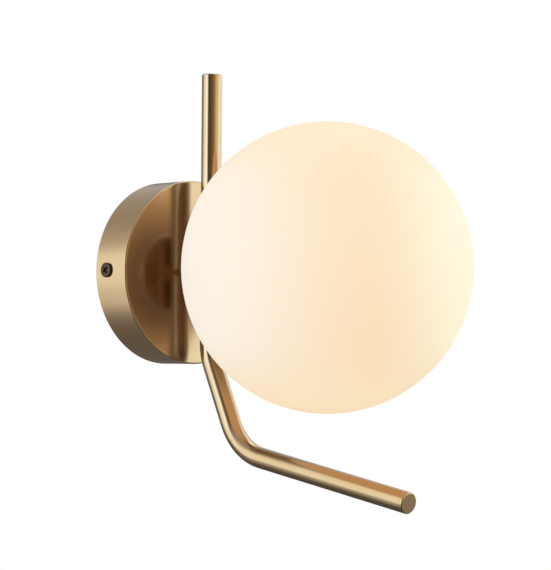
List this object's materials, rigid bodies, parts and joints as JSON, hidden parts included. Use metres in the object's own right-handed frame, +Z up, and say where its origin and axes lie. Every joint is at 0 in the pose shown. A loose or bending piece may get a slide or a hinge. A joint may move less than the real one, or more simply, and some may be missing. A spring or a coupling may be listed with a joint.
{
  "type": "globe wall light",
  "caption": "Wall light with a round brass canopy, a bent brass rod and an opal glass globe that screws on by its neck.",
  "frame": {"origin": "where the axis of the canopy meets the wall, at the middle of the back of the wall bracket", "axes": "+X along the wall, +Y into the wall, +Z up; the globe stands out towards -Y"},
  "size_m": [0.15, 0.2001, 0.2305],
  "materials": {
    "brushed_brass": "satin, finely brushed and lightly aged",
    "opal_glass": "opal white, smooth, lit warm white from inside",
    "black_steel": "black oxide",
    "zinc_steel": "zinc plated",
    "bright_brass": "bare turned brass",
    "tinned_copper": "tin plated",
    "white_plastic": "moulded, matt",
    "ceramic": "unglazed steatite",
    "silicone": "soft, matt",
    "bulb_diffuser": "frosted, lit",
    "brown_insulation": "smooth insulation",
    "blue_insulation": "smooth insulation",
    "earth_insulation": "smooth insulation with a yellow stripe"
  },
  "bodies": {
    "fixture": {"wall_bracket": "zinc_steel", "canopy": "brushed_brass", "terminal_block": "white_plastic", "terminal_clamps": "bright_brass", "terminal_screws": "zinc_steel", "terminal_block_screws": "zinc_steel", "earth_tag": "tinned_copper", "earth_screw": "bright_brass", "rod": "brushed_brass", "rod_top_cap": "brushed_brass", "rod_end_cap": "brushed_brass", "rear_spacer": "brushed_brass", "front_spacer": "brushed_brass", "threaded_tube": "zinc_steel", "tube_bushes": "white_plastic", "canopy_washer": "zinc_steel", "canopy_nut": "zinc_steel", "fitter_nut": "zinc_steel", "globe_fitter": "brushed_brass", "globe_gasket": "silicone", "holder_bracket": "zinc_steel", "holder_screws": "zinc_steel", "lampholder": "ceramic", "holder_contacts": "bright_brass", "live_lead": "brown_insulation", "neutral_lead": "blue_insulation", "earth_lead": "earth_insulation"},
    "globe": {"globe": "opal_glass"},
    "bulb": {"bulb_base": "white_plastic", "bulb_envelope": "bulb_diffuser", "bulb_pins": "tinned_copper"},
    "left_screw": {"side_screw_left": "black_steel"},
    "right_screw": {"side_screw_right": "black_steel"}
  },
  "joints": [
    {"name": "globe_off", "type": "slide", "parent": "fixture", "child": "globe", "axis": [0, -1, 0], "range_m": [0, 0.14]},
    {"name": "bulb_out", "type": "slide", "parent": "fixture", "child": "bulb", "axis": [0, -1, 0], "range_m": [0, 0.06]},
    {"name": "left_screw_out", "type": "slide", "parent": "fixture", "child": "left_screw", "axis": [-1, 0, 0], "range_m": [0, 0.014]},
    {"name": "right_screw_out", "type": "slide", "parent": "fixture", "child": "right_screw", "axis": [1, 0, 0], "range_m": [0, 0.014]}
  ]
}
